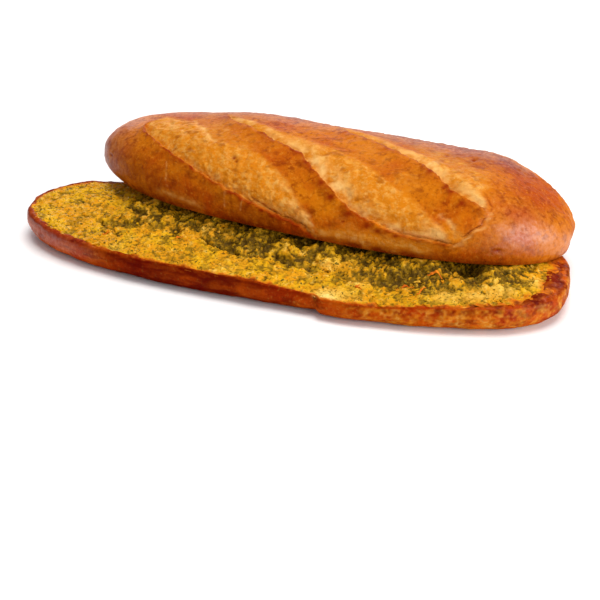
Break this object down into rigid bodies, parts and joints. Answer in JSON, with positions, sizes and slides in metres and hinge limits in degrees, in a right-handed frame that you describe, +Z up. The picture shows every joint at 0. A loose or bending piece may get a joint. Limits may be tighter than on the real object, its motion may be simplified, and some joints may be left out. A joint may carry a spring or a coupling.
{
  "type": "garlic bread loaf",
  "caption": "Garlic bread: a slashed, crusty loaf split lengthwise, its top half lying set back on a bottom half spread with golden herb and garlic butter.",
  "frame": {"origin": "centre of the bounding box's base, on the surface that the bread lies on", "axes": "+X along the loaf towards its wider end, +Y towards the back, where the top half overhangs the bottom half, +Z up"},
  "size_m": [0.354, 0.1758, 0.0706],
  "materials": {
    "bottom_crust": "baked crust, satin",
    "herb_butter": "moist herb butter on torn crumb",
    "top_crust": "glossy baked crust"
  },
  "bodies": {
    "root": {"bottom_half": "bottom_crust", "herb_spread": "herb_butter", "top_half": "top_crust"}
  },
  "joints": []
}
